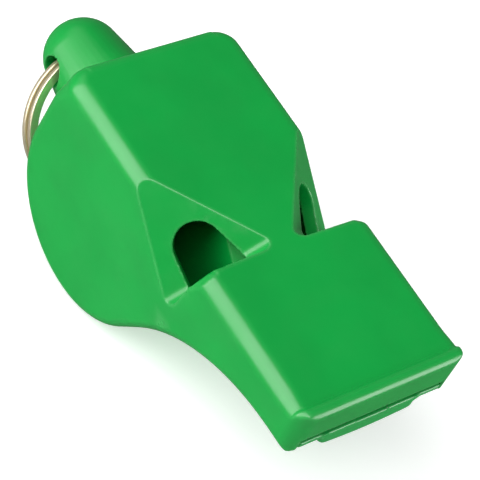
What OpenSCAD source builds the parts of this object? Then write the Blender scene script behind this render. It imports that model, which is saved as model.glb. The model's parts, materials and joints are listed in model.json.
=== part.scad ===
// Pealess sports whistle: a moulded housing with three sound chambers, a belly cover,
// an airway insert and a split ring that swings in the lug.
// +X runs towards the mouthpiece, +Z is square to the flat top, Y = 0 is the plane of symmetry.
// The origin is under the middle of the whole object, level with the drum's lowest line.

/* [Body] */
// Width across the two flat cheeks
body_w = 21; // [19:0.5:24]
// Length of the flat top, from the bite lip back to the rear edge
top_len = 43.3; // [42:0.1:46]
// Thickness of each cheek
cheek_t = 1.5; // [1.2:0.1:1.8]
// Thickness of the flat top over the chambers
top_t = 1.8; // [1.4:0.1:2.2]
// Rounding of the top's two long edges
edge_r = 1.5; // [1:0.1:1.8]
// Rounding of the top's rear edge
rear_r = 1.6; // [1.2:0.1:2]
// Rounding of the cheeks' lower and rear edges
rim_r = 1.3; // [0.9:0.1:1.5]

/* [Drum] */
// Outer radius of the drum
drum_r = 11.75; // [11.4:0.05:12]
// Depth from the flat top to the drum's lowest line
drum_depth = 24.1; // [23.6:0.1:24.8]
// Distance from the bite lip back to the drum's centre
drum_back = 32.85; // [32.5:0.05:33.2]
// Thickness of the curved skin, the rear wall and the facets' walls
skin_t = 1.5; // [1.2:0.1:1.8]
// Length of the straight run from the drum to the hollow curve under the mouthpiece
slope_len = 4; // [3:0.1:5]
// Distance from the bite lip back to the hollow curve's centre
hollow_back = 1.1; // [0.6:0.1:1.4]
// Depth at which the rear wall ends and the belly cover starts
rear_wall_h = 18; // [17.2:0.1:19]

/* [Mouthpiece] */
// Height of the mouthpiece, without its lips
mouth_h = 6; // [5.8:0.1:6.6]
// Thickness of the upper bite lip, front to back
lip_t = 1.6; // [1.3:0.1:2]
// Height of the upper bite lip above the flat top
lip_rise = 0.5; // [0.3:0.05:0.7]
// Depth from the flat top to the ceiling of the mouth slot
slot_depth = 3.7; // [3.5:0.1:4]
// Height of the mouth slot
slot_h = 0.8; // [0.6:0.05:1]
// Width of the lower bite lip
tongue_w = 12.2; // [11:0.1:13]
// Drop of the lower bite lip below the mouthpiece
tongue_drop = 0.8; // [0.5:0.1:1]
// Rounding of the lower bite lip's two ends
tongue_r = 1.1; // [0.8:0.1:1.1]
// Distance by which the insert's floor stands back from the upper lip's face
floor_back = 0.7; // [0.5:0.1:1]
// Rounding of the mouthpiece's two upright front edges
front_r = 2; // [1.5:0.1:2.4]
// Rounding of the cheeks' lower front corners
leg_r = 1.2; // [0.8:0.1:1.6]

/* [Side windows] */
// Distance from the bite lip back to the notch's rear corner on the cheek
notch_back = 30.1; // [29.5:0.1:31]
// Distance from the bite lip back to the notch's front wall
notch_front = 16.8; // [16.4:0.1:17.4]
// Lean of the notch's front wall, whose foot lies further back than its rim
wall_lean = 9.6; // [6:0.2:12]
// Rounding of that wall's rim at the cheek
wall_rim_r = 1; // [0.7:0.1:1.2]
// Distance from the middle at which that rounding has run out
neck_half = 1.9; // [1.6:0.1:2.4]
// Fillet between the wall and the facet
foot_r = 1; // [0.7:0.1:1.2]
// Angle of the notch's ridge to the long axis, seen from above
notch_plan = 36.3; // [35:0.1:37]
// Slope of the notch's facet
notch_tilt = 51.1; // [49:0.1:53]
// Width of the window in the facet, along the front wall
window_w = 6.7; // [6:0.1:7]
// Distance from the cheek to the window's middle, along the front wall
window_along = 6.35; // [6.1:0.05:6.5]
// Length of the window, from the front wall to the top of its arch
window_len = 6.5; // [6:0.1:6.8]
// Radius of the window's arch
arch_r = 2.5; // [2.2:0.1:2.7]
// Shift of the arch towards the cheek
arch_shift = 0.3; // [0.1:0.05:0.5]

/* [Sound chambers] */
// Width of the centre chamber
centre_w = 4.2; // [3.6:0.1:4.6]
// Thickness of each partition
partition_t = 1.2; // [1:0.1:1.4]
// Height of the two side airways where they leave the mouthpiece
jet_h = 1; // [0.8:0.1:1.2]
// Depth of the side airways' ceiling below the facet
jet_drop = 0.3; // [0.2:0.05:0.5]
// Distance from the bite lip back to the front edge of the belly window
belly_front = 14; // [13.5:0.1:14.5]
// Length of the belly window, under the centre chamber
belly_len = 4.6; // [4:0.1:5]

/* [Lug] */
// Depth from the flat top to the lug's axis
lug_depth = 11.2; // [11:0.1:11.6]
// Distance from the top's rear edge back to the middle of the lug's tip
lug_reach = 7.8; // [7.4:0.1:8.2]
// Radius of the lug's rounded tip
lug_tip_r = 4.4; // [4:0.1:4.6]
// Radius of the lug at its root
lug_root_r = 5.6; // [5.2:0.1:5.8]
// Diameter of the lug's cross hole
hole_d = 3.4; // [3.3:0.05:3.6]
// Distance from the middle of the lug's tip forward to the hole
hole_shift = 0.5; // [0.2:0.1:0.7]
// Distance from the lug's axis down to the hole
hole_drop = 0.1; // [0:0.05:0.3]

/* [Split ring] */
// Outer diameter of the ring
ring_od = 16.6; // [16.4:0.1:17]
// Width of the flat wire, from the ring's inside to its outside
wire_w = 1.05; // [0.9:0.05:1.1]
// Thickness of the flat wire
wire_t = 0.6; // [0.5:0.02:0.64]
// Clear gap between the ring's two turns
turn_gap = 0.46; // [0.42:0.01:0.5]

/* [Hidden] */
$fn = 96;
// Overrun of every cut
over = 1;
// Growth of a rounding's circle, so that it meets its two faces at a slight angle
blend = 0.01;
// Length by which two roundings lap where one runs on from the other
lap = 0.3;
// Gap left on each side of a welded seam
weld_gap = 0.05;
// Gap between the hanging ring and the wall of its hole
rest_gap = 0.12;
// Colours of the three mouldings and of the ring
shell_green = [0.02, 0.63, 0.26];
cover_green = [0.05, 0.66, 0.3];
insert_green = [0.14, 0.69, 0.34];
nickel = [0.84, 0.81, 0.74];

half_w = body_w / 2;
room_w = body_w - 2 * cheek_t;
face_x = lip_t;
floor_x = face_x - floor_back;
below = -drum_depth - over;
behind = -top_len - drum_r;
// A length that reaches past the whole body
reach = 2 * top_len;

// The model is drawn from the bite lip's rear line on the flat top, then moved to its origin
lug_end = -top_len - lug_reach - lug_tip_r;
origin_shift = [-(face_x + lug_end) / 2, 0, drum_depth];

// Places on the side outline, as [x, z]: a straight run joins the drum to the hollow
drum_c = [-drum_back, drum_r - drum_depth];
// Distance and height of the hollow's upper end from the drum's centre
hollow_far = drum_back - hollow_back;
hollow_up = -mouth_h - drum_c.y;
// Radius of the hollow that leaves room for the straight run
hollow_r = (hollow_far ^ 2 + hollow_up ^ 2 - drum_r ^ 2 - slope_len ^ 2) / (2 * (drum_r + hollow_up));
hollow_c = [-hollow_back, -mouth_h - hollow_r];
hollow_span = hollow_c - drum_c;
hollow_turn = atan2(hollow_span.y, hollow_span.x) - acos((drum_r + hollow_r) / norm(hollow_span));
hollow_dir = [cos(hollow_turn), sin(hollow_turn)];
drum_touch = drum_c + drum_r * hollow_dir;
hollow_touch = hollow_c - hollow_r * hollow_dir;
rear_top = [-top_len, 0];
rear_span = rear_top - drum_c;
rear_turn = atan2(rear_span.y, rear_span.x) + acos(drum_r / norm(rear_span));
rear_dir = [cos(rear_turn), sin(rear_turn)];
rear_touch = drum_c + drum_r * rear_dir;
rear_len = norm(rear_touch - rear_top);
rear_along = (rear_touch - rear_top) / rear_len;
slope_along = (hollow_touch - drum_touch) / slope_len;
inner_r = drum_r - skin_t;

// The facet of the notch starts at this corner of the near cheek
notch_corner = [-notch_back, -half_w, 0];
notch_az = notch_plan - 90;
facet_n = [sin(notch_tilt) * cos(notch_az), sin(notch_tilt) * sin(notch_az), cos(notch_tilt)];
// Height of the near facet's plane over a place
function facet_z(x, y) = (facet_n.x * (notch_corner.x - x) + facet_n.y * (notch_corner.y - y)) / facet_n.z;
// The facet's foot on the front wall runs up from the cheek to the ridge
foot_z = -facet_n.x * (notch_back - notch_front) / (facet_n.z + facet_n.x * tan(wall_lean));
foot_low = [-notch_front + foot_z * tan(wall_lean), -half_w, foot_z];
foot_top = [-notch_front, -half_w - facet_n.x * (notch_back - notch_front) / facet_n.y, 0];
foot_len = norm(foot_top - foot_low);
foot_dir = (foot_top - foot_low) / foot_len;
// Turn about the facet's normal that lines up with that foot
facet_down = [cos(notch_tilt) * cos(notch_az), cos(notch_tilt) * sin(notch_az), -sin(notch_tilt)];
ridge_dir = [-sin(notch_az), cos(notch_az), 0];
foot_turn = atan2(foot_dir * ridge_dir, foot_dir * facet_down);
// Angle of the front wall to the facet, and its direction seen along the foot
wall_n = [-cos(wall_lean), 0, sin(wall_lean)];
wall_angle = 180 - acos(facet_n * wall_n);
chamber_x = foot_low.x + foot_dir.x * window_along;

// Faces of the chambers across the width
centre_half = centre_w / 2;
side_in = centre_half + partition_t;
side_out = room_w / 2;

// Heights of the airways' ceiling, at the face and at the notch's front wall
face_ceiling = -slot_depth;
jet_in_z = facet_z(chamber_x, -side_in) - jet_drop;
jet_out_z = facet_z(chamber_x, -side_out) - jet_drop;
// The centre airway runs along the hollow, and its roof ends at the front edge of the belly window
centre_r = hollow_r + mouth_h - slot_depth;
belly_top = hollow_c.y + sqrt(centre_r ^ 2 - (belly_front - hollow_back) ^ 2);

// The lug's cone is tangent to its tip
hole_c = [hole_shift - top_len - lug_reach, -lug_depth - hole_drop];
lug_cone = asin((lug_root_r - lug_tip_r) / lug_reach);

// The ring hangs from the hole: its inside clears the two mouths where the lug is widest there
ring_mid_r = (ring_od - wire_w) / 2;
ring_in_r = ring_od / 2 - wire_w;
ring_t = 2 * wire_t + turn_gap;
mouth_y = (lug_root_r - (lug_reach - hole_shift - hole_d / 2) * sin(lug_cone)) / cos(lug_cone);
ring_drop = sqrt(ring_in_r ^ 2 - mouth_y ^ 2) + sqrt((hole_d / 2 - rest_gap) ^ 2 - (ring_t / 2) ^ 2);
// It leans forward until it lies on what the drum stands on
ring_low = [ring_drop + ring_od / 2, ring_t / 2];
ring_lean = acos(min(1, (drum_depth + hole_c.y) / norm(ring_low))) + atan2(ring_low.y, ring_low.x);
ring_dir = [sin(ring_lean), 0, -cos(ring_lean)];
ring_c = [hole_c.x, 0, hole_c.y] + ring_drop * ring_dir;

// The ring's wire: stations of 24 to a turn, from its first end to its last
turn_steps = 24;
jog_steps = 2;
wire_steps = 2 * turn_steps - jog_steps - 1;
wire_start = 50;
// Section of the wire, as shares of its width and thickness
wire_shares = [[-0.5, -0.5], [0.36, -0.5], [0.5, 0], [0.36, 0.5], [-0.5, 0.5], [-0.46, 0]];
wire_sides = len(wire_shares);
function clamp01(v) = max(0, min(1, v));
function wire_level(i) = (wire_t + turn_gap) * (clamp01((i - turn_steps + jog_steps) / jog_steps) - 1 / 2);
function wire_point(i, j) = let (a = wire_start + i * 360 / turn_steps,
                                 r = ring_mid_r + wire_shares[j].x * wire_w)
    [r * cos(a), r * sin(a), wire_level(i) + wire_shares[j].y * wire_t];
wire_points = [for (i = [0:wire_steps]) for (j = [0:wire_sides - 1]) wire_point(i, j)];
function ring_corner(i, j) = i * wire_sides + j % wire_sides;
wire_faces = [
    [for (j = [0:wire_sides - 1]) j],
    for (i = [0:wire_steps - 1]) for (j = [0:wire_sides - 1])
        each [[ring_corner(i, j), ring_corner(i + 1, j), ring_corner(i + 1, j + 1)],
              [ring_corner(i, j), ring_corner(i + 1, j + 1), ring_corner(i, j + 1)]],
    [for (j = [wire_sides - 1:-1:0]) ring_corner(wire_steps, j)]
];
least_turn_gap = min([for (i = [0:wire_steps - turn_steps / 2]) for (k = [i + turn_steps / 2:wire_steps])
    for (j = [0:wire_sides - 1]) for (m = [0:wire_sides - 1]) norm(wire_point(i, j) - wire_point(k, m))]);
echo("least gap between the ring's turns", least_turn_gap);

// Stands an outline up in x and z, and gives it a width across y
module across(width) {
    rotate([90, 0, 0]) linear_extrude(height = width, center = true) children();
}

// The whole body between its two cheeks' faces, at a given width
module body_form(width) {
    across(width) translate(drum_c) circle(r = drum_r);
    difference() {
        across(width) polygon([rear_top, [face_x, 0], [face_x, -mouth_h], [hollow_c.x, -mouth_h],
                               hollow_touch, drum_touch, drum_c, rear_touch]);
        across(width + over) translate(hollow_c) circle(r = hollow_r);
    }
}

// The space inside the skin, taken in by a gap
module room_form(width, gap) {
    across(width) translate(drum_c) circle(r = inner_r - gap);
    difference() {
        across(width) polygon([rear_top + [skin_t, -top_t], [chamber_x, -top_t], [chamber_x, hollow_touch.y],
                               hollow_touch - (skin_t + gap) * hollow_dir,
                               drum_c + (inner_r - gap) * hollow_dir, drum_c,
                               drum_c + (inner_r - gap) * rear_dir]);
        across(width + over) translate(hollow_c) circle(r = hollow_r + skin_t + gap);
    }
}

// The zone that the belly cover closes, from a gap below the rear wall
module cover_zone(width, gap) {
    across(width) {
        translate([behind, below]) square([chamber_x - behind, -rear_wall_h - gap - below]);
        translate([drum_c.x, below]) square([chamber_x - drum_c.x, -mouth_h - below]);
    }
}

// Lays an outline in y and z, and gives it a length along x
module along(length) {
    rotate([90, 0, 90]) linear_extrude(height = length) children();
}

module both_sides() {
    children();
    mirror([0, 1, 0]) children();
}

// Cutter that rounds an edge running up z, whose corner faces +x and +y
module edge_cut(r, length) {
    difference() {
        translate([-r, -r, 0]) cube([r + over, r + over, length]);
        translate([-r, -r, -over]) cylinder(r = r + blend, h = length + 2 * over);
    }
}

// Sections of the cutters for both cheeks' edges: x runs out of the outline, y across the width
module rim_sections(r, growth) {
    for (side = [-1, 1]) scale([1, side]) translate([-r, half_w - r]) difference() {
        square(r + over);
        circle(r = r + growth);
    }
}

// Cutter for a straight run of both edges, from a start, whose outline faces a given angle
module straight_rims(start, facing, length, r) {
    translate([start.x, 0, start.y]) rotate([0, -facing, 0])
        linear_extrude(height = length) rim_sections(r, blend);
}

// Cutter for both edges along an arc of the outline, round a centre and between two angles
module arc_rims(centre, from, to, arc_r) {
    turn = lap / arc_r * 180 / PI;
    translate([centre.x, 0, centre.y]) rotate([-90, 0, 0]) rotate([0, 0, -to - turn])
        rotate_extrude(angle = to - from + 2 * turn) translate([arc_r, 0]) children();
}

// Section of a cutter that rounds the corner of an outline between two of its sides
module corner_section(corner, side_a, side_b, r) {
    middle = (side_a + side_b) / norm(side_a + side_b);
    half_angle = acos(side_a * side_b) / 2;
    centre = corner + middle * r / sin(half_angle);
    touch_a = corner + side_a * r / tan(half_angle);
    touch_b = corner + side_b * r / tan(half_angle);
    difference() {
        polygon([centre, touch_a + (touch_a - centre) * over / r, corner - middle * over / sin(half_angle),
                 touch_b + (touch_b - centre) * over / r]);
        translate(centre) circle(r = r + blend);
    }
}

// Cutters across the width: the top's rear edge and the cheeks' lower front corners
module rear_top_cut() {
    across(body_w + over) corner_section(rear_top, [1, 0], rear_along, rear_r);
}

module leg_corner_cut() {
    across(body_w + over) corner_section([face_x, -mouth_h], [-1, 0], [0, 1], leg_r);
}

// The upper bite lip: a round bead across the front of the top, with rounded ends
module bite_lip() {
    bead_r = lip_t / 2;
    intersection() {
        across(body_w) {
            translate([bead_r, lip_rise - bead_r]) circle(r = bead_r);
            translate([0, -slot_depth]) square([lip_t, slot_depth + lip_rise - bead_r]);
        }
        along(lip_t) {
            translate([-half_w, -slot_depth]) square([body_w, slot_depth + lip_rise - edge_r]);
            translate([edge_r - half_w, 0]) square([body_w - 2 * edge_r, lip_rise]);
            for (y = [edge_r - half_w, half_w - edge_r]) translate([y, lip_rise - edge_r]) circle(r = edge_r);
        }
    }
}

// Half space above the near facet, lowered by a drop
module above_facet(drop) {
    translate(notch_corner) rotate([0, notch_tilt, notch_az])
        translate([-reach, -reach, -drop]) cube([2 * reach, 2 * reach, reach]);
}

// All that lies behind the notch's front wall
module behind_front_wall() {
    translate([-notch_front, 0, 0]) rotate([0, wall_lean, 0])
        translate([-reach, -reach, -reach]) cube([reach, 2 * reach, 2 * reach]);
}

// Cutter for the rim of the near notch's front wall: the rounding runs out towards the neck
module wall_rim_cut() {
    wall_down = [-sin(wall_lean), -cos(wall_lean)];
    middle = ([1, 0] + wall_down) / norm([1, 0] + wall_down);
    half_angle = acos(wall_down.x) / 2;
    run = half_w + over - neck_half;
    r = wall_rim_r * run / (half_w - neck_half);
    touch = r / tan(half_angle);
    centre = middle * r / sin(half_angle);
    axis = [centre.x, -run, centre.y];
    translate([-notch_front, -neck_half, 0]) difference() {
        polyhedron(points = [[0, 0, 0], [touch, -run, 0], [wall_down.x * touch, -run, wall_down.y * touch],
                             [-middle.x * over, -run, -middle.y * over]],
                   faces = [[1, 2, 3], [0, 2, 1], [0, 3, 2], [0, 1, 3]]);
        rotate([0, acos(axis.z / norm(axis)), atan2(axis.y, axis.x)])
            cylinder(r1 = blend, r2 = norm(axis) * tan(asin(r / norm(axis))) + blend, h = norm(axis));
    }
}

// Places things on the near facet: x along the foot of the front wall, y away from it, z off the facet
module on_facet() {
    translate(foot_low) rotate([0, notch_tilt, notch_az]) rotate([0, 0, foot_turn]) children();
}

// Fillet of the sharp corner between the front wall and the facet
module foot_fillet() {
    side_l = foot_r / tan(wall_angle / 2);
    intersection() {
        on_facet() rotate([90, 0, 90]) linear_extrude(height = foot_len + over) difference() {
            polygon([[-over, -over], [side_l, -over], [side_l, foot_r],
                     side_l * [cos(wall_angle), sin(wall_angle)], [-over, 0]]);
            translate([side_l, foot_r]) circle(r = foot_r);
        }
        translate([-reach / 2, -half_w, -reach / 2]) cube([reach, half_w, reach / 2]);
    }
}

// Outline of the arched window on the facet, its foot on the front wall
module window_outline() {
    foot = window_w / 2;
    arch_c = [window_along - arch_shift, window_len - arch_r];
    left = [window_along - foot, 0] - arch_c;
    right = [window_along + foot, 0] - arch_c;
    left_turn = atan2(left.y, left.x) - acos(arch_r / norm(left));
    right_turn = atan2(right.y, right.x) + acos(arch_r / norm(right));
    translate(arch_c) circle(r = arch_r);
    polygon([arch_c, arch_c + arch_r * [cos(left_turn), sin(left_turn)], [window_along - foot, 0],
             [window_along - foot, -over], [window_along + foot, -over], [window_along + foot, 0],
             arch_c + arch_r * [cos(right_turn), sin(right_turn)]]);
}

// The window through the near facet, with the fillet in front of it
module window_cut() {
    on_facet() translate([0, 0, -skin_t - over]) linear_extrude(height = skin_t + over) window_outline();
    intersection() {
        behind_front_wall();
        on_facet() translate([0, 0, -over]) linear_extrude(height = 3 * over) window_outline();
    }
}

// Plates that divide the three chambers, and the ribs of the airways under them
module divider_zone(outer, inner) {
    both_sides() translate([-reach, inner, -reach]) cube([2 * reach, outer - inner, 2 * reach]);
}

// The space between the cheeks, without the partitions and the facets' walls
module chamber_cut() {
    difference() {
        union() {
            room_form(room_w, 0);
            cover_zone(room_w, 0);
        }
        both_sides() above_facet(skin_t);
        intersection() {
            room_form(room_w, weld_gap);
            divider_zone(side_in, centre_half);
        }
    }
}

// Airway space under the mouthpiece's ceiling, its roof lowered by a gap at the face and at the jets
module airway_space(face_gap, jet_gap, width, front, back) {
    y = width / 2;
    hull() {
        translate([front, 0, 0]) along(over)
            polygon([[-y, below], [-y, face_ceiling - face_gap], [y, face_ceiling - face_gap], [y, below]]);
        translate([back - over, 0, 0]) along(over)
            polygon([[-y, below], [-y, jet_out_z - jet_gap], [-side_in, jet_in_z - jet_gap],
                     [side_in, jet_in_z - jet_gap], [y, jet_out_z - jet_gap], [y, below]]);
    }
}

// The lug: a cone that runs into its round tip, drawn as a section and turned about the x axis
module lug_body() {
    cone_dir = [cos(lug_cone), sin(lug_cone)];
    tip = [0, lug_reach] + (lug_tip_r - blend) * cone_dir;
    root = (lug_root_r - blend) * cone_dir;
    translate([-top_len, 0, -lug_depth]) rotate([0, -90, 0]) rotate_extrude() intersection() {
        union() {
            translate([0, lug_reach]) circle(r = lug_tip_r);
            polygon([[0, 0], [root.x + root.y * tan(lug_cone), 0], root, tip, [0, tip.y]]);
        }
        square([lug_root_r + over, lug_reach + lug_tip_r + over]);
    }
}

module housing() {
    color(shell_green) translate(origin_shift) difference() {
        union() {
            difference() {
                union() {
                    difference() {
                        body_form(body_w);
                        both_sides() intersection() {
                            above_facet(0);
                            behind_front_wall();
                        }
                    }
                    both_sides() foot_fillet();
                }
                arc_rims(drum_c, rear_turn, 360 + hollow_turn, drum_r) rim_sections(rim_r, 2 * blend);
                arc_rims(hollow_c, 90, 180 + hollow_turn, hollow_r)
                    mirror([1, 0]) rim_sections(rim_r, 2 * blend);
                straight_rims(drum_touch + slope_along * lap / 2, hollow_turn, slope_len - lap, rim_r);
                straight_rims([hollow_c.x + lap / 2, -mouth_h], -90, reach, rim_r);
                straight_rims(rear_top - over * rear_along, rear_turn, rear_len + over - lap / 2, rim_r);
                straight_rims([face_x + over, 0], 90, reach, edge_r);
                both_sides() wall_rim_cut();
                rear_top_cut();
                leg_corner_cut();
            }
            bite_lip();
            lug_body();
        }
        both_sides() translate([face_x, half_w, below]) edge_cut(front_r, reach);
        both_sides() window_cut();
        chamber_cut();
        airway_space(0, 0, room_w, face_x, chamber_x + over);
        translate([hole_c.x, 0, hole_c.y]) rotate([90, 0, 0])
            cylinder(d = hole_d, h = 2 * lug_root_r + 2 * over, center = true);
    }
}

module belly_cover() {
    color(cover_green) translate(origin_shift) difference() {
        intersection() {
            body_form(room_w - 2 * weld_gap);
            cover_zone(room_w, weld_gap);
        }
        room_form(room_w, 0);
        translate([-belly_front - belly_len, -centre_half, below])
            cube([belly_len + over, centre_w, drum_depth]);
    }
}

module airway_insert() {
    insert_w = room_w - 2 * weld_gap;
    color(insert_green) translate(origin_shift) difference() {
        union() {
            intersection() {
                body_form(insert_w);
                union() {
                    airway_space(slot_h, jet_h, insert_w, floor_x - over, chamber_x + over);
                    intersection() {
                        airway_space(weld_gap, weld_gap, insert_w, floor_x - over, chamber_x + over);
                        divider_zone(side_in, 0);
                    }
                }
            }
            lower_lip();
        }
        intersection() {
            across(centre_w) translate(hollow_c) difference() {
                circle(r = centre_r);
                circle(r = centre_r - slot_h);
            }
            translate([-belly_front - over, -half_w, below])
                cube([belly_front + face_x + 2 * over, body_w, -below]);
        }
        translate([chamber_x - over, -centre_half, below])
            cube([-belly_front - chamber_x + over, centre_w, belly_top - below]);
        translate([behind, -half_w, below]) cube([chamber_x + weld_gap - behind, body_w, -below]);
    }
}

// The lower bite lip: a tongue in front of the insert's floor, with rounded ends
module lower_lip() {
    lip_z = -mouth_h - tongue_drop;
    back_x = floor_x - lip_t;
    intersection() {
        translate([back_x, 0, 0]) along(face_x - back_x) {
            translate([-tongue_w / 2, lip_z + tongue_r])
                square([tongue_w, -slot_depth - slot_h - lip_z - tongue_r]);
            translate([tongue_r - tongue_w / 2, lip_z]) square([tongue_w - 2 * tongue_r, tongue_r]);
            for (y = [tongue_r - tongue_w / 2, tongue_w / 2 - tongue_r])
                translate([y, lip_z + tongue_r]) circle(r = tongue_r);
        }
        translate([0, 0, lip_z]) linear_extrude(height = -lip_z) {
            translate([back_x, -tongue_w / 2]) square([lip_t, tongue_w]);
            translate([back_x, floor_back - tongue_w / 2])
                square([face_x - back_x, tongue_w - 2 * floor_back]);
            for (y = [floor_back - tongue_w / 2, tongue_w / 2 - floor_back])
                translate([floor_x, y]) circle(r = floor_back);
        }
    }
}

module split_ring() {
    color(nickel) translate(origin_shift + ring_c) rotate([0, 90 - ring_lean, 0])
        polyhedron(points = wire_points, faces = wire_faces);
}

housing();
belly_cover();
airway_insert();
split_ring();
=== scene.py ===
"""Looks of the pealess sports whistle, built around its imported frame.

The three mouldings get softened edges and a moulded plastic finish, and the split ring is wound
again in fine steps. Lengths are in metres, in the frame's own axes: +X to the mouthpiece, +Z off
the flat top.
"""
import json
import math
from collections import namedtuple

import bmesh
import bpy
import numpy as np
from mathutils import Matrix, Quaternion, Vector


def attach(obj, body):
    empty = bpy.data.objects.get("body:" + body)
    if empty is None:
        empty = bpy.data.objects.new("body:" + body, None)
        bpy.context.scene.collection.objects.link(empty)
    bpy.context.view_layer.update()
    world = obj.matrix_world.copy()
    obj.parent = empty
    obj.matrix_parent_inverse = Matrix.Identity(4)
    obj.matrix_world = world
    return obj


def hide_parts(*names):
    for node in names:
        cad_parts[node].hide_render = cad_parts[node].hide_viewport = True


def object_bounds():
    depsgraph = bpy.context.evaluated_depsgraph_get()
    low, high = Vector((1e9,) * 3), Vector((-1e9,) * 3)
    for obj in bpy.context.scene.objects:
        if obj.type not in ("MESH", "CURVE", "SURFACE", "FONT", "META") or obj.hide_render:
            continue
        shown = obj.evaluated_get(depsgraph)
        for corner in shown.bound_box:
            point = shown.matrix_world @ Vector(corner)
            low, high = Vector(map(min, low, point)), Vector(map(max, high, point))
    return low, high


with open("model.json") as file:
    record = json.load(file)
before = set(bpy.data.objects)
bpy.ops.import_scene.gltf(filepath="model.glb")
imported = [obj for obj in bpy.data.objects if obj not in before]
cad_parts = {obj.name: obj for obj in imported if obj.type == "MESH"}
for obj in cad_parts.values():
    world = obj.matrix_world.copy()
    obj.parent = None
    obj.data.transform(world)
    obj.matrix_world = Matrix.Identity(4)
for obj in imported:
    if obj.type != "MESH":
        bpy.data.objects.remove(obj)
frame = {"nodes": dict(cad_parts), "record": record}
cad_low, cad_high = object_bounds()
mounts = {mount["name"]: mount for mount in frame["record"]["mounts"]}
cad_top = mounts["top_face"]["pos_m"][2]

MM = 0.001
QUARTER = math.radians(90)

# Mouldings: size of the remeshing cell, rounds of smoothing and most triangles left
CELL = 0.13 * MM
SMOOTH_ROUNDS = 3
SMOOTH_SHARE = 0.5
MOST_TRIANGLES = 190_000
WELD = 0.002 * MM
FLAT_WEIGHT = 100

# Turn of the surface at which edge wear and painted edge highlight start and are full, and the
# share that a neighbour gets
WEAR_AND_HIGHLIGHT_TURNS = (math.radians(3), math.radians(16))
WEAR_AND_HIGHLIGHT_SPREAD = 0.5

# The top's two long edges: rounding, and the stretch of x over which it fades at the bite lip
HALF_W = 10.5 * MM
EDGE_R = 1.85 * MM
LIP_EDGE_R = 1.5 * MM
LIP_FADE = (24.2 * MM, 26.9 * MM)

# The top's corners over a wall: the wall's x on the top, and its shift for each unit of depth. Then
# come the roundings of the wall's rim, of the corner in plan and of the upright edge below, and the
# depths over which the second of these passes into the third
TopCorner = namedtuple("TopCorner", "wall_x slope wall_r plan_r rim_r fade")
REAR_CORNER = TopCorner(-16.35 * MM, -0.105, 1.6 * MM, 2.6 * MM, 1.3 * MM, (1.5 * MM, 5 * MM))
NOTCH_CORNER = TopCorner(10.15 * MM, -0.169, 1 * MM, 1.6 * MM, 0.6 * MM, (0.8 * MM, 3 * MM))
# Height over the top, as a share of the rounding, up to which a corner's points are moved
OVER_TOP = 0.25
TINY = 1e-9

# Corners that are softened further: x, half width, depth below the top and reach of the softening.
# They lie where the notches' facets run out on the long edges, and at the bite lip's two ends
SOFT_CORNERS = tuple(tuple(length * MM for length in corner) for corner in (
    (-3.15, 10.5, 0.0, 2.2), (28.1, 10.0, 0.2, 2.8)))
CORNER_ROUNDS = 22

# Mouth, with depths taken from the top: the floor plate comes forward beside the tongue, as far as
# MOUTH_X and no deeper than PLATE_FADE, and the tongue's foot is arched from MOUTH_H down
MOUTH_X = 28.5 * MM
MOUTH_H = 6.0 * MM
PLATE_X = 27.85 * MM
PLATE_AHEAD = 0.6 * MM
PLATE_RAMP = 0.45 * MM
PLATE_FRONT = 0.05 * MM
PLATE_FADE = (5.1 * MM, 5.5 * MM)
TONGUE_HALF = 6.1 * MM
TONGUE_BACK = 26.0 * MM
TONGUE_ARCH = 0.8

# Split ring: flat wire in nearly two turns, wound from its first end to its last
RING_OD = 16.6 * MM
WIRE_W = 1.05 * MM
WIRE_T = 0.6 * MM
TURN_GAP = 0.46 * MM
WIRE_ROUND = 0.13 * MM
RING_START = math.radians(50)
WIRE_TURN = math.radians(675)
JOG_START = math.radians(330)
JOG_TURN = math.radians(30)
RING_STEP = math.radians(1.5)
CORNER_STEPS = 4
END_TAPER = math.radians(5)
END_SHARE = 0.45

# Plastics. A noise has a scale in features per millimetre, a detail and at times a roughness. A
# band maps its first two numbers to 0 and 1, or to the next two. A relief is a distance and a
# strength. Marks are a scale along each axis, a turn about each axis and a band
SHELL_GREEN = (0.0, 0.29, 0.04)
COVER_GREEN = (0.0, 0.3, 0.043)
INSERT_GREEN = (0.002, 0.31, 0.05)
DYE_NOISE = (0.11, 3.0)
DYE_BAND = (0.3, 0.7)
DYE_SHARES = (0.95, 1.05)
# Noise that breaks up the edge mask, then how far and how much the edges pale towards white: partly
# wear, partly a painted highlight along the edges
EDGE_BREAKUP_NOISE = (0.7, 3.0)
EDGE_BREAKUP_BAND = (0.35, 0.6, 0.6, 1.0)
HIGHLIGHT_PALE_SHARE = 0.05
HIGHLIGHT_PALE_MIX = 0.5
LONG_MARKS = ((0.12, 3.2, 3.2), (0.0, 0.0, 0.6), (0.66, 0.72))
CROSS_MARKS = ((2.8, 0.15, 2.8), (0.3, 0.0, -0.4), (0.68, 0.74))
MARK_ROUGHNESS = 0.04
MARK_RELIEF = (0.004 * MM, 0.2)
HAZE_NOISE = (0.25, 4.0, 0.6)
HAZE_BAND = (0.35, 0.7, 0.3, 0.37)
WEAR_POLISH = 0.07
WAVE_NOISE = (0.3, 1.0)
WAVE_RELIEF = (0.06 * MM, 0.35)
GRAIN_NOISE = (5.0, 2.0)
GRAIN_RELIEF = (0.008 * MM, 0.4)
PLASTIC_SPECULAR = 0.5
PLASTIC_IOR = 1.58

# Nickel, in the same terms
NICKEL = (0.97, 0.84, 0.6)
DRAWN_SCALES = (9.0, 0.7, 9.0)
DRAWN_TURN = (0.0, math.radians(35), 0.0)
DRAWN_DETAIL = 3.0
DRAWN_BAND = (0.3, 0.7, 0.28, 0.38)
DRAWN_RELIEF = (0.01 * MM, 0.35)
CLOUD_NOISE = (0.8, 4.0, 0.6)
CLOUD_BAND = (0.35, 0.7)
CLOUD_SHADE = 0.86
CLOUD_ROUGHNESS = 0.1
NICKEL_METALLIC = 0.85

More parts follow.
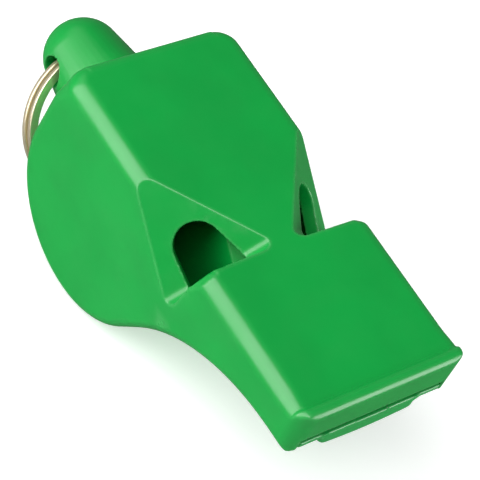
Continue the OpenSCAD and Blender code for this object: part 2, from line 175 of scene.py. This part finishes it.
# Floor and sky
FLOOR_WHITE = (0.85, 0.85, 0.85)
FLOOR_GLOW = 0.4
FLOOR_ROUGHNESS = 0.9
FLOOR_SPECULAR = 0.1
FLOOR_HALF = 1.5
FLOOR_GAP = 0.02 * MM
SKY_STRENGTH = 0.14

# Soft boxes: name, direction from the whistle, size in metres and power in watts
LIGHT_AWAY = 0.5
LIGHTS = (
    ("key_box", (-0.37, -0.76, 0.54), (0.4, 0.85), 4.6),
    ("fill_box", (0.25, -0.3, 0.92), (0.25, 0.25), 0.8),
    ("rim_box", (0.75, 0.6, 0.25), (0.3, 0.3), 1.7),
    ("back_box", (-0.8, -0.1, 0.6), (0.3, 0.3), 0.2),
)

# Camera: place, a point on its axis, turn about that axis, and lens and sensor in millimetres
CAMERA_AT = Vector((88.05, -120.56, 186.88)) * MM
CAMERA_AIM = Vector((2.79, 3.39, 13.05)) * MM
CAMERA_ROLL = math.radians(28.2)
CAMERA_LENS = 165.7
SENSOR_W = 36
CLIP_START = 0.01


def link(obj):
    """Puts obj into the scene, and hands it back."""
    bpy.context.scene.collection.objects.link(obj)
    return obj


def settled(obj, modifier):
    """Gives obj the mesh that its modifier makes, and takes the modifier away."""
    seen = obj.evaluated_get(bpy.context.evaluated_depsgraph_get())
    mesh = bpy.data.meshes.new_from_object(seen)
    obj.modifiers.remove(modifier)
    old, obj.data = obj.data, mesh
    bpy.data.meshes.remove(old)


def smooth_step(value, low, high):
    """Share from 0 at low to 1 at high, eased at both."""
    share = np.clip((value - low) / (high - low), 0, 1)
    return share * share * (3 - 2 * share)


def round_corner(points, corner):
    """Rounds the top's two corners over a wall, in plan and towards the top."""
    depth = cad_top - points[:, 2]
    deep = np.maximum(depth, 0)
    radius = corner.plan_r + (corner.rim_r - corner.plan_r) * smooth_step(deep, *corner.fade)
    wall = corner.wall_x + corner.slope * deep
    side = np.sign(points[:, 1])
    out_x = radius - (points[:, 0] - wall)
    out_y = radius - (HALF_W - np.abs(points[:, 1]))
    reach = np.hypot(out_x, out_y)
    # The bend towards the top passes from the wall's rounding to that of the long edge
    bend = corner.wall_r + (EDGE_R - corner.wall_r) * np.arctan2(out_y, out_x) / QUARTER
    bend = np.minimum(bend, radius)
    from_top = np.maximum(bend - depth, 0)
    beyond = reach - (radius - bend)
    far = np.hypot(beyond, from_top)
    near = (out_x < 2 * radius) & (depth > -OVER_TOP * bend) & (depth < corner.fade[1])
    move = near & (out_x > 0) & (out_y > 0) & (beyond > 0) & (far > bend)
    share = bend / np.maximum(far, bend)
    stretch = (radius - bend + beyond * share) / np.maximum(reach, TINY)
    new_depth = np.where(depth < bend, bend - from_top * share, depth)
    moved = points.copy()
    moved[:, 0] = wall + radius - out_x * stretch
    moved[:, 1] = side * (HALF_W - radius + out_y * stretch)
    moved[:, 2] = cad_top - new_depth
    points[move] = moved[move]


def round_long_edges(points):
    """Gives the top's two long edges their full rounding, which fades out at the bite lip."""
    radius = EDGE_R + (LIP_EDGE_R - EDGE_R) * smooth_step(points[:, 0], *LIP_FADE)
    out = np.abs(points[:, 1]) - (HALF_W - radius)
    up = points[:, 2] - (cad_top - radius)
    far = np.hypot(out, up)
    move = (out > 0) & (up > 0) & (far > radius) & (points[:, 0] < LIP_FADE[1])
    share = radius / np.maximum(far, radius)
    moved = points.copy()
    moved[:, 1] = np.sign(points[:, 1]) * (HALF_W - radius + out * share)
    moved[:, 2] = cad_top - radius + up * share
    points[move] = moved[move]


def read_points(mesh):
    """The mesh's vertices, as rows of x, y and z."""
    points = np.empty(len(mesh.vertices) * 3, np.float32)
    mesh.vertices.foreach_get("co", points)
    return points.reshape(-1, 3).astype(float)


def shape_insert(obj):
    """Brings the floor plate forward beside the tongue, and arches the tongue's foot."""
    points = read_points(obj.data)
    x, across, depth = points[:, 0], np.abs(points[:, 1]), cad_top - points[:, 2]
    ahead = smooth_step(x, PLATE_X - PLATE_RAMP, PLATE_X - PLATE_FRONT)
    ahead *= smooth_step(across, TONGUE_HALF - 2 * PLATE_RAMP, TONGUE_HALF - PLATE_RAMP)
    ahead *= 1 - smooth_step(depth, *PLATE_FADE)
    arch = TONGUE_ARCH * np.clip(across / TONGUE_HALF, 0, 1) ** 2
    lift = np.where((x > TONGUE_BACK) & (depth > MOUTH_H), (depth - MOUTH_H) * arch, 0)
    points[:, 0] = np.minimum(x + PLATE_AHEAD * ahead, np.maximum(x, MOUTH_X))
    points[:, 2] += lift
    obj.data.vertices.foreach_set("co", points.reshape(-1))


def shape_housing(obj):
    """Rounds the housing's edges and corners, and softens some corners further."""
    mesh = obj.data
    points = read_points(mesh)
    round_long_edges(points)
    round_corner(points, REAR_CORNER)
    round_corner(points, NOTCH_CORNER)
    mesh.vertices.foreach_set("co", points.reshape(-1))
    group = obj.vertex_groups.new(name="soft_corners")
    folded = np.column_stack([points[:, 0], np.abs(points[:, 1]), cad_top - points[:, 2]])
    for *corner, reach in SOFT_CORNERS:
        away = np.linalg.norm(folded - corner, axis=1)
        for index in np.flatnonzero(away < reach):
            group.add([int(index)], float(1 - away[index] / reach), "REPLACE")
    soften = obj.modifiers.new("soft_corners", "SMOOTH")
    soften.vertex_group = "soft_corners"
    soften.factor = SMOOTH_SHARE
    soften.iterations = CORNER_ROUNDS
    settled(obj, soften)


def mark_edges(mesh):
    """Stores on each vertex its edge wear and painted edge highlight, from 0 to 1: how sharply the
    surface turns outwards there.
    """
    bm = bmesh.new()
    bm.from_mesh(mesh)
    turn = np.zeros(len(bm.verts))
    for edge in bm.edges:
        if len(edge.link_faces) == 2:
            angle = edge.calc_face_angle_signed()
            for vert in edge.verts:
                turn[vert.index] = max(turn[vert.index], angle)
    spread = turn.copy()
    for edge in bm.edges:
        a, b = (vert.index for vert in edge.verts)
        spread[a] = max(spread[a], turn[b] * WEAR_AND_HIGHLIGHT_SPREAD)
        spread[b] = max(spread[b], turn[a] * WEAR_AND_HIGHLIGHT_SPREAD)
    bm.free()
    # This mask later pales the edges' colour: partly wear, partly a painted highlight along the
    # edges
    attribute = mesh.attributes.new("edge_wear_and_highlight", "FLOAT", "POINT")
    least, full = WEAR_AND_HIGHLIGHT_TURNS
    wear = np.clip((spread - least) / (full - least), 0, 1)
    attribute.data.foreach_set("value", wear.astype(np.float32))


def moulding(name, node, body, material, shape=None):
    """A copy of a CAD moulding, with edges as a mould leaves them. shape may work on it further."""
    mesh = frame["nodes"][node].data.copy()
    mesh.materials.clear()
    obj = link(bpy.data.objects.new(name, mesh))
    bm = bmesh.new()
    bm.from_mesh(mesh)
    bmesh.ops.remove_doubles(bm, verts=bm.verts, dist=WELD)
    bm.to_mesh(mesh)
    bm.free()
    remesh = obj.modifiers.new("cells", "REMESH")
    remesh.mode = "VOXEL"
    remesh.voxel_size = CELL
    settled(obj, remesh)
    if shape:
        shape(obj)
    smooth = obj.modifiers.new("soften", "SMOOTH")
    smooth.factor = SMOOTH_SHARE
    smooth.iterations = SMOOTH_ROUNDS
    settled(obj, smooth)
    triangles = 2 * len(obj.data.polygons)
    if triangles > MOST_TRIANGLES:
        fewer = obj.modifiers.new("fewer", "DECIMATE")
        fewer.ratio = MOST_TRIANGLES / triangles
        settled(obj, fewer)
    mark_edges(obj.data)
    obj.data.shade_smooth()
    even = obj.modifiers.new("even", "WEIGHTED_NORMAL")
    even.weight = FLAT_WEIGHT
    obj.data.materials.append(material)
    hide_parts(node)
    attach(obj, body)


def wire_section():
    """Outline of the flat wire: across the ring and along its axis, with rounded corners."""
    points = []
    half_w, half_t = WIRE_W / 2 - WIRE_ROUND, WIRE_T / 2 - WIRE_ROUND
    corners = ((1, 1), (-1, 1), (-1, -1), (1, -1))
    for quarter, (side_w, side_t) in enumerate(corners):
        for step in range(CORNER_STEPS + 1):
            turn = QUARTER * (quarter + step / CORNER_STEPS)
            points.append((side_w * half_w + WIRE_ROUND * math.cos(turn),
                           side_t * half_t + WIRE_ROUND * math.sin(turn)))
    return points


def split_ring(material):
    """The split ring's wire, swept round in fine steps and narrowed at its two ends."""
    eye = mounts["ring_eye"]
    lean = math.atan2(eye["axis"][2], eye["axis"][0])
    place = Matrix.Translation(eye["pos_m"]) @ Matrix.Rotation(QUARTER - lean, 4, "Y")
    section = wire_section()
    sides = len(section)
    steps = round(WIRE_TURN / RING_STEP)
    middle = (RING_OD - WIRE_W) / 2
    rise = WIRE_T + TURN_GAP
    verts = []
    for step in range(steps + 1):
        turn = WIRE_TURN * step / steps
        level = rise * (smooth_step(turn, JOG_START, JOG_START + JOG_TURN) - 1 / 2)
        from_end = min(min(turn, WIRE_TURN - turn) / END_TAPER, 1)
        share = END_SHARE + (1 - END_SHARE) * math.sqrt(from_end * (2 - from_end))
        angle = RING_START + turn
        for out, along in section:
            radius, height = middle + out, level + along * share
            point = (radius * math.cos(angle), radius * math.sin(angle), height)
            verts.append(place @ Vector(point))
    faces = [range(sides)[::-1], range(steps * sides, (steps + 1) * sides)]
    for start in range(0, steps * sides, sides):
        for j in range(sides):
            a, b = start + j, start + (j + 1) % sides
            faces.append((a, b, b + sides, a + sides))
    mesh = bpy.data.meshes.new("nickel_split_ring")
    mesh.from_pydata(verts, [], faces)
    bm = bmesh.new()
    bm.from_mesh(mesh)
    bmesh.ops.recalc_face_normals(bm, faces=bm.faces)
    bm.to_mesh(mesh)
    bm.free()
    mesh.shade_smooth()
    obj = link(bpy.data.objects.new("nickel_split_ring", mesh))
    even = obj.modifiers.new("even", "WEIGHTED_NORMAL")
    even.keep_sharp = True
    mesh.materials.append(material)
    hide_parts("split_ring")
    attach(obj, "ring")


class Nodes:
    """Short calls for building one material's node tree."""

    def __init__(self, name):
        self.material = bpy.data.materials.new(name)
        self.material.use_nodes = True
        self.tree = self.material.node_tree
        self.shader = self.tree.nodes["Principled BSDF"]

    def add(self, kind, settings=None, **inputs):
        """A new node, with its settings, and its inputs by name."""
        node = self.tree.nodes.new(kind)
        for key, value in (settings or {}).items():
            setattr(node, key, value)
        for key, value in inputs.items():
            self.feed(node.inputs[key.replace("_", " ")], value)
        return node

    def feed(self, socket, value):
        """Links value to the socket if it is another node's output, or else sets it there."""
        if isinstance(value, bpy.types.NodeSocket):
            self.tree.links.new(value, socket)
        else:
            socket.default_value = value

    def coordinates(self, scale=(1, 1, 1), turn=(0, 0, 0)):
        """The object's own coordinates, turned, and scaled from millimetres."""
        place = self.add("ShaderNodeTexCoord").outputs["Object"]
        turned = self.add("ShaderNodeMapping", Vector=place, Rotation=turn).outputs["Vector"]
        scaled = tuple(share / MM for share in scale)
        return self.add("ShaderNodeMapping", Vector=turned, Scale=scaled).outputs["Vector"]

    def noise(self, vector, scale=1.0, detail=2.0, roughness=0.5):
        """A noise texture's value at the vector."""
        return self.add("ShaderNodeTexNoise", Vector=vector, Scale=scale, Detail=detail,
                        Roughness=roughness).outputs["Fac"]

    def band(self, value, low, high, to_low=0.0, to_high=1.0):
        """Maps value from low..high to to_low..to_high, clamped and eased."""
        node = self.add("ShaderNodeMapRange", {"interpolation_type": "SMOOTHSTEP"}, Value=value)
        ends = {"From Min": low, "From Max": high, "To Min": to_low, "To Max": to_high}
        for key, number in ends.items():
            node.inputs[key].default_value = number
        return node.outputs["Result"]

    def marks(self, scale, turn, band):
        """Thin streaks, whose direction comes from the scale along each axis and the turn."""
        return self.band(self.noise(self.coordinates(scale, turn)), *band)

    def combine(self, operation, first, second):
        """Two values joined by a math operation. What an addition gives is kept between 0 and 1."""
        node = self.add("ShaderNodeMath", {"operation": operation, "use_clamp": operation == "ADD"})
        self.feed(node.inputs[0], first)
        self.feed(node.inputs[1], second)
        return node.outputs["Value"]

    def mix(self, share, first, second):
        """A blend of two colours. This node has inputs of several types under the names A and B."""
        node = self.add("ShaderNodeMix", {"data_type": "RGBA"})
        colours = [socket for socket in node.inputs if socket.type == "RGBA"]
        self.feed(node.inputs["Factor"], share)
        self.feed(colours[0], first)
        self.feed(colours[1], second)
        return next(socket for socket in node.outputs if socket.type == "RGBA")

    def bump(self, height, relief, normal=None):
        """The normal over a relief of the given height, on top of an earlier one."""
        distance, strength = relief
        node = self.add("ShaderNodeBump", Height=height, Distance=distance, Strength=strength)
        if normal:
            self.feed(node.inputs["Normal"], normal)
        return node.outputs["Normal"]


def rgba(colour, share=1.0):
    """The colour times share, opaque."""
    return (*(min(channel * share, 1) for channel in colour), 1)


def moulded_plastic(name, colour):
    """Glossy ABS: uneven dye, fine grain, shallow waves, handling scratches, and burnished edges
    paled as wear and as a painted highlight.
    """
    nodes = Nodes(name)
    place = nodes.coordinates()
    dye = nodes.band(nodes.noise(place, *DYE_NOISE), *DYE_BAND)
    tone = nodes.mix(dye, *(rgba(colour, share) for share in DYE_SHARES))
    edge = nodes.add("ShaderNodeAttribute", {"attribute_name": "edge_wear_and_highlight"}).outputs["Fac"]
    edge_breakup = nodes.band(nodes.noise(place, *EDGE_BREAKUP_NOISE), *EDGE_BREAKUP_BAND)
    wear_and_highlight = nodes.combine("MULTIPLY", edge, edge_breakup)
    # Paler colour for the edges: partly wear, partly a painted highlight
    pale = rgba([channel + (1 - channel) * HIGHLIGHT_PALE_SHARE for channel in colour])
    marks = nodes.combine("ADD", nodes.marks(*LONG_MARKS), nodes.marks(*CROSS_MARKS))
    haze = nodes.band(nodes.noise(place, *HAZE_NOISE), *HAZE_BAND)
    rough = nodes.combine("ADD", haze, nodes.combine("MULTIPLY", marks, MARK_ROUGHNESS))
    polished = nodes.combine("SUBTRACT", rough, nodes.combine("MULTIPLY", wear_and_highlight, WEAR_POLISH))
    waves = nodes.bump(nodes.noise(place, *WAVE_NOISE), WAVE_RELIEF)
    grain = nodes.bump(nodes.noise(place, *GRAIN_NOISE), GRAIN_RELIEF, waves)
    scored = nodes.bump(nodes.combine("SUBTRACT", 1.0, marks), MARK_RELIEF, grain)
    # Share of the paler colour on the edges: partly wear, partly painted highlight
    painted_highlight_share = nodes.combine("MULTIPLY", wear_and_highlight, HIGHLIGHT_PALE_MIX)
    inputs = nodes.shader.inputs
    nodes.feed(inputs["Base Color"], nodes.mix(painted_highlight_share, tone, pale))
    nodes.feed(inputs["Roughness"], polished)
    nodes.feed(inputs["Normal"], scored)
    inputs["Specular IOR Level"].default_value = PLASTIC_SPECULAR
    inputs["IOR"].default_value = PLASTIC_IOR
    return nodes.material


def nickel_plate(name, colour):
    """Nickel on flat spring wire: lines drawn along the wire, and duller clouds."""
    nodes = Nodes(name)
    drawn = nodes.noise(nodes.coordinates(DRAWN_SCALES, DRAWN_TURN), detail=DRAWN_DETAIL)
    cloud = nodes.band(nodes.noise(nodes.coordinates(), *CLOUD_NOISE), *CLOUD_BAND)
    dull = nodes.combine("MULTIPLY", cloud, CLOUD_ROUGHNESS)
    inputs = nodes.shader.inputs
    nodes.feed(inputs["Base Color"], nodes.mix(cloud, rgba(colour), rgba(colour, CLOUD_SHADE)))
    nodes.feed(inputs["Roughness"], nodes.combine("ADD", nodes.band(drawn, *DRAWN_BAND), dull))
    nodes.feed(inputs["Normal"], nodes.bump(drawn, DRAWN_RELIEF))
    inputs["Metallic"].default_value = NICKEL_METALLIC
    return nodes.material


def floor_paint(name, colour):
    """Matt white paint with a faint glow of its own, which keeps the shadow pale."""
    nodes = Nodes(name)
    inputs = nodes.shader.inputs
    inputs["Base Color"].default_value = rgba(colour)
    inputs["Emission Color"].default_value = rgba(colour)
    inputs["Emission Strength"].default_value = FLOOR_GLOW
    inputs["Roughness"].default_value = FLOOR_ROUGHNESS
    inputs["Specular IOR Level"].default_value = FLOOR_SPECULAR
    return nodes.material


def soft_box(name, place, aim, size, power):
    """A rectangular lamp at a place, turned to face aim."""
    light = bpy.data.lights.new(name, "AREA")
    light.shape = "RECTANGLE"
    light.size, light.size_y = size
    light.energy = power
    obj = link(bpy.data.objects.new(name, light))
    obj.location = place
    obj.rotation_euler = (aim - place).to_track_quat("-Z", "Y").to_euler()


def studio(centre):
    """A pale floor that shows in no reflection, a dim even sky and the soft boxes."""
    mesh = bpy.data.meshes.new("floor")
    corners = [(x * FLOOR_HALF, y * FLOOR_HALF, 0) for x, y in ((-1, -1), (1, -1), (1, 1), (-1, 1))]
    mesh.from_pydata(corners, [], [range(len(corners))])
    mesh.materials.append(floor_paint("floor_paint", FLOOR_WHITE))
    floor = link(bpy.data.objects.new("floor", mesh))
    floor.location.z = cad_low.z - FLOOR_GAP
    floor.visible_glossy = False
    world = bpy.data.worlds.new("studio")
    world.use_nodes = True
    sky = world.node_tree.nodes["Background"]
    sky.inputs["Color"].default_value = (1, 1, 1, 1)
    sky.inputs["Strength"].default_value = SKY_STRENGTH
    bpy.context.scene.world = world
    for name, toward, size, power in LIGHTS:
        soft_box(name, centre + LIGHT_AWAY * Vector(toward).normalized(), centre, size, power)


def photo_camera():
    """The scene's camera, at the photograph's viewing angle."""
    data = bpy.data.cameras.new("photo_camera")
    data.sensor_fit = "HORIZONTAL"
    data.sensor_width = SENSOR_W
    data.lens = CAMERA_LENS
    data.clip_start = CLIP_START
    camera = link(bpy.data.objects.new("photo_camera", data))
    camera.location = CAMERA_AT
    level = (CAMERA_AIM - CAMERA_AT).to_track_quat("-Z", "Y")
    camera.rotation_mode = "QUATERNION"
    camera.rotation_quaternion = level @ Quaternion((0, 0, 1), CAMERA_ROLL)
    bpy.context.scene.camera = camera


photo_camera()
studio((cad_low + cad_high) / 2)
moulding("housing_shell", "housing", "whistle_body",
         moulded_plastic("shell_plastic", SHELL_GREEN), shape_housing)
moulding("belly_shell", "belly_cover", "whistle_body",
         moulded_plastic("cover_plastic", COVER_GREEN))
moulding("mouth_insert", "airway_insert", "whistle_body",
         moulded_plastic("insert_plastic", INSERT_GREEN), shape_insert)
split_ring(nickel_plate("nickel_plate", NICKEL))

bpy.context.scene.view_settings.view_transform = "Standard"
